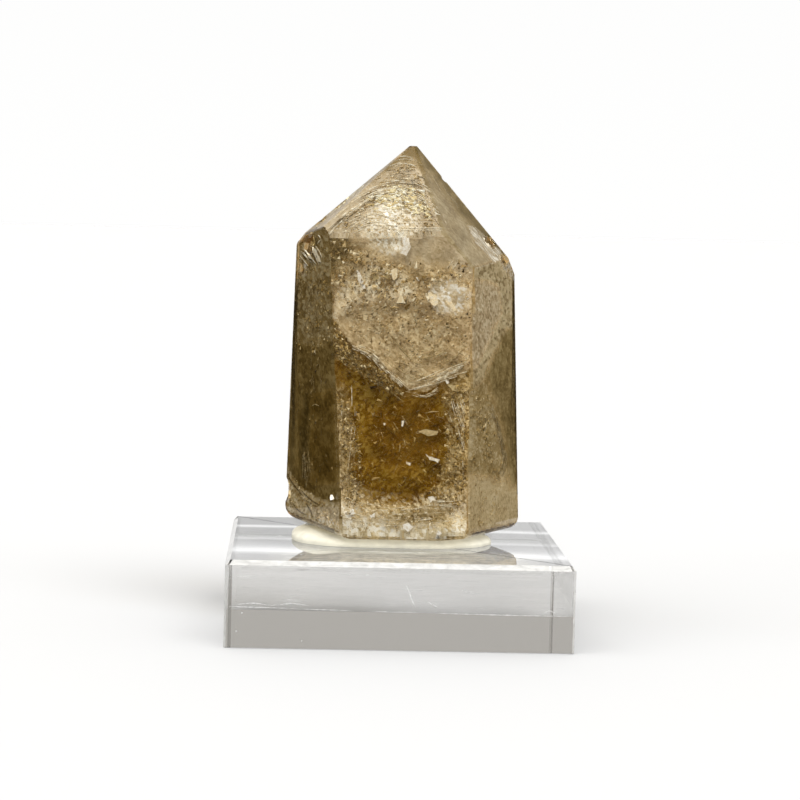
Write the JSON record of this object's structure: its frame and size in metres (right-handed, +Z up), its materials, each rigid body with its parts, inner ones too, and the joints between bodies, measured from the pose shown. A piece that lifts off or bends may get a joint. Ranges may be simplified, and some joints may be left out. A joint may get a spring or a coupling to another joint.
{
  "type": "citrine crystal point",
  "caption": "Polished smoky amber quartz point with inner veils, held upright by milky putty on a clear square display block with chamfered edges.",
  "frame": {"origin": "middle of the block's underside", "axes": "+Z up along the crystal, front towards -Y, +X to the right"},
  "size_m": [0.0762, 0.0762, 0.1097],
  "materials": {
    "smoky_citrine": "polished quartz, smoky amber with milky inner veils",
    "milky_putty": "milky, translucent, soft sheen",
    "clear_acrylic": "clear, polished, sharp chamfers"
  },
  "bodies": {
    "root": {"crystal_point": "smoky_citrine", "adhesive_pad": "milky_putty", "acrylic_block": "clear_acrylic"}
  },
  "joints": []
}
